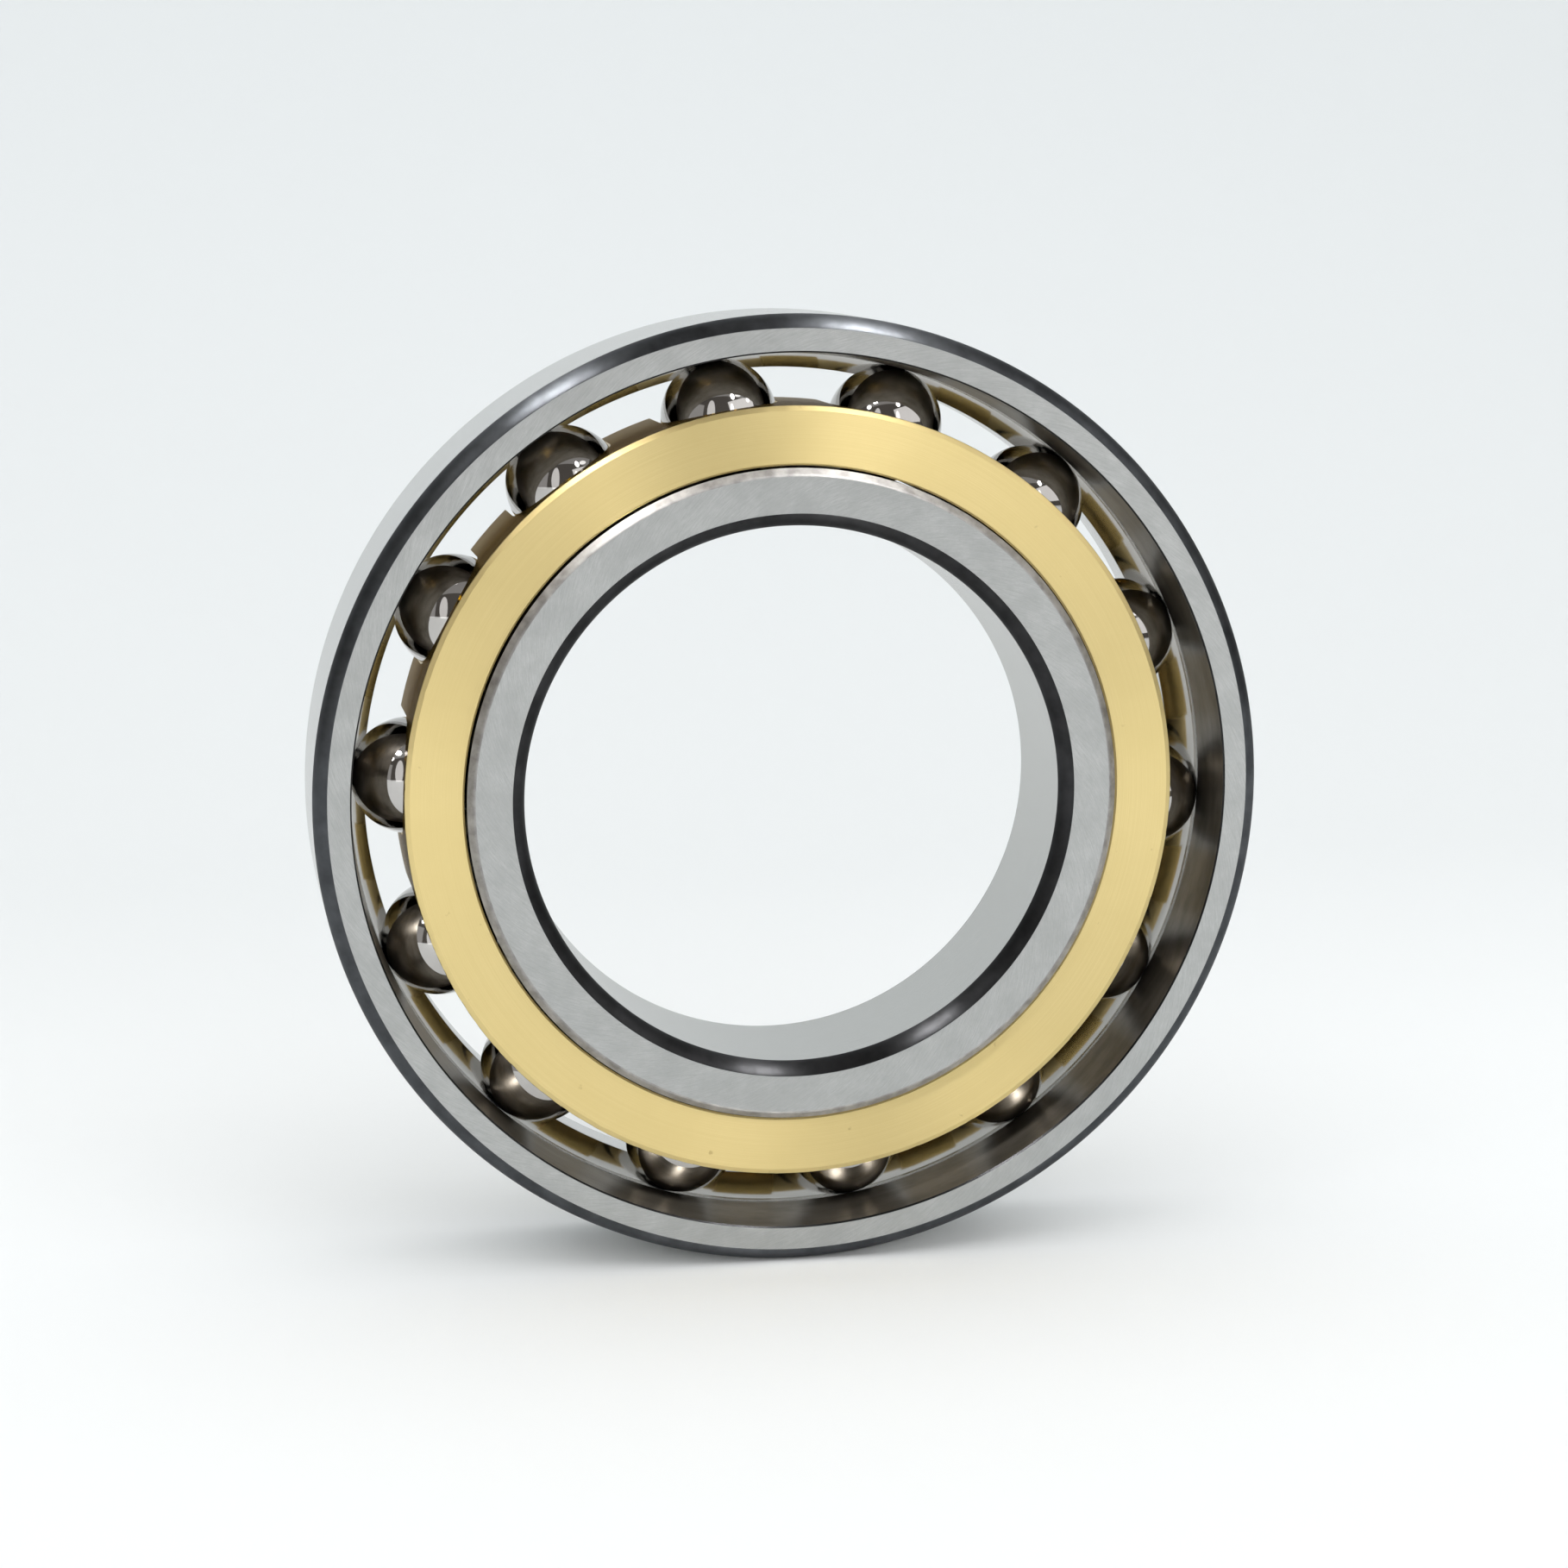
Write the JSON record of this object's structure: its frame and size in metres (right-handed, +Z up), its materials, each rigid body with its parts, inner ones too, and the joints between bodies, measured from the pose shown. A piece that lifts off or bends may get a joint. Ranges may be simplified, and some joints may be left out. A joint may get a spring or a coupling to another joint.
{
  "type": "angular contact ball bearing",
  "caption": "Single-row ball bearing with a turned brass cage: it carries a shaft in its bore, and takes load across the shaft and along it in one direction.",
  "frame": {"origin": "centre of the bearing, on its axis and half-way between the ring faces", "axes": "+Y along the bearing's axis from the front, where the outer ring is counterbored and the balls show, to the back; +Z up as it stands on its rim"},
  "size_m": [0.15, 0.028, 0.15],
  "materials": {
    "ring_steel": "ground",
    "ball_steel": "polished",
    "cage_brass": "fine turned"
  },
  "bodies": {
    "outer_ring": {"outer_ring": "ring_steel"},
    "inner_ring": {"inner_ring": "ring_steel"},
    "cage": {"cage": "cage_brass"},
    "ball_01": {"ball_01": "ball_steel"},
    "ball_02": {"ball_02": "ball_steel"},
    "ball_03": {"ball_03": "ball_steel"},
    "ball_04": {"ball_04": "ball_steel"},
    "ball_05": {"ball_05": "ball_steel"},
    "ball_06": {"ball_06": "ball_steel"},
    "ball_07": {"ball_07": "ball_steel"},
    "ball_08": {"ball_08": "ball_steel"},
    "ball_09": {"ball_09": "ball_steel"},
    "ball_10": {"ball_10": "ball_steel"},
    "ball_11": {"ball_11": "ball_steel"},
    "ball_12": {"ball_12": "ball_steel"},
    "ball_13": {"ball_13": "ball_steel"},
    "ball_14": {"ball_14": "ball_steel"}
  },
  "joints": [
    {"name": "inner_ring_spin", "type": "hinge", "parent": "outer_ring", "child": "inner_ring", "pos_m": [0, 0, 0], "axis": [0, 1, 0], "continuous": true},
    {"name": "cage_orbit", "type": "hinge", "parent": "outer_ring", "child": "cage", "pos_m": [0, 0, 0], "axis": [0, 1, 0], "continuous": true},
    {"name": "ball_01_spin", "type": "hinge", "parent": "cage", "child": "ball_01", "pos_m": [0.05497, 0, 0.02277], "axis": [-0.3904, 0.9063, -0.1617], "continuous": true},
    {"name": "ball_02_spin", "type": "hinge", "parent": "cage", "child": "ball_02", "pos_m": [0.03965, 0, 0.04437], "axis": [-0.2816, 0.9063, -0.3151], "continuous": true},
    {"name": "ball_03_spin", "type": "hinge", "parent": "cage", "child": "ball_03", "pos_m": [0.01647, 0, 0.05717], "axis": [-0.117, 0.9063, -0.4061], "continuous": true},
    {"name": "ball_04_spin", "type": "hinge", "parent": "cage", "child": "ball_04", "pos_m": [-0.00997, 0, 0.05866], "axis": [0.0708, 0.9063, -0.4166], "continuous": true},
    {"name": "ball_05_spin", "type": "hinge", "parent": "cage", "child": "ball_05", "pos_m": [-0.03443, 0, 0.04853], "axis": [0.2446, 0.9063, -0.3447], "continuous": true},
    {"name": "ball_06_spin", "type": "hinge", "parent": "cage", "child": "ball_06", "pos_m": [-0.05208, 0, 0.02878], "axis": [0.3699, 0.9063, -0.2044], "continuous": true},
    {"name": "ball_07_spin", "type": "hinge", "parent": "cage", "child": "ball_07", "pos_m": [-0.05941, 0, 0.00334], "axis": [0.422, 0.9063, -0.0237], "continuous": true},
    {"name": "ball_08_spin", "type": "hinge", "parent": "cage", "child": "ball_08", "pos_m": [-0.05497, 0, -0.02277], "axis": [0.3904, 0.9063, 0.1617], "continuous": true},
    {"name": "ball_09_spin", "type": "hinge", "parent": "cage", "child": "ball_09", "pos_m": [-0.03965, 0, -0.04437], "axis": [0.2816, 0.9063, 0.3151], "continuous": true},
    {"name": "ball_10_spin", "type": "hinge", "parent": "cage", "child": "ball_10", "pos_m": [-0.01647, 0, -0.05717], "axis": [0.117, 0.9063, 0.4061], "continuous": true},
    {"name": "ball_11_spin", "type": "hinge", "parent": "cage", "child": "ball_11", "pos_m": [0.00997, 0, -0.05866], "axis": [-0.0708, 0.9063, 0.4166], "continuous": true},
    {"name": "ball_12_spin", "type": "hinge", "parent": "cage", "child": "ball_12", "pos_m": [0.03443, 0, -0.04853], "axis": [-0.2446, 0.9063, 0.3447], "continuous": true},
    {"name": "ball_13_spin", "type": "hinge", "parent": "cage", "child": "ball_13", "pos_m": [0.05208, 0, -0.02878], "axis": [-0.3699, 0.9063, 0.2044], "continuous": true},
    {"name": "ball_14_spin", "type": "hinge", "parent": "cage", "child": "ball_14", "pos_m": [0.05941, 0, -0.00334], "axis": [-0.422, 0.9063, 0.0237], "continuous": true}
  ],
  "couplings": [
    {"joint": "cage_orbit", "follows": "inner_ring_spin", "ratio": 0.43048},
    {"joint": "ball_01_spin", "follows": "inner_ring_spin", "ratio": -3.1962},
    {"joint": "ball_02_spin", "follows": "inner_ring_spin", "ratio": -3.1962},
    {"joint": "ball_03_spin", "follows": "inner_ring_spin", "ratio": -3.1962},
    {"joint": "ball_04_spin", "follows": "inner_ring_spin", "ratio": -3.1962},
    {"joint": "ball_05_spin", "follows": "inner_ring_spin", "ratio": -3.1962},
    {"joint": "ball_06_spin", "follows": "inner_ring_spin", "ratio": -3.1962},
    {"joint": "ball_07_spin", "follows": "inner_ring_spin", "ratio": -3.1962},
    {"joint": "ball_08_spin", "follows": "inner_ring_spin", "ratio": -3.1962},
    {"joint": "ball_09_spin", "follows": "inner_ring_spin", "ratio": -3.1962},
    {"joint": "ball_10_spin", "follows": "inner_ring_spin", "ratio": -3.1962},
    {"joint": "ball_11_spin", "follows": "inner_ring_spin", "ratio": -3.1962},
    {"joint": "ball_12_spin", "follows": "inner_ring_spin", "ratio": -3.1962},
    {"joint": "ball_13_spin", "follows": "inner_ring_spin", "ratio": -3.1962},
    {"joint": "ball_14_spin", "follows": "inner_ring_spin", "ratio": -3.1962}
  ]
}
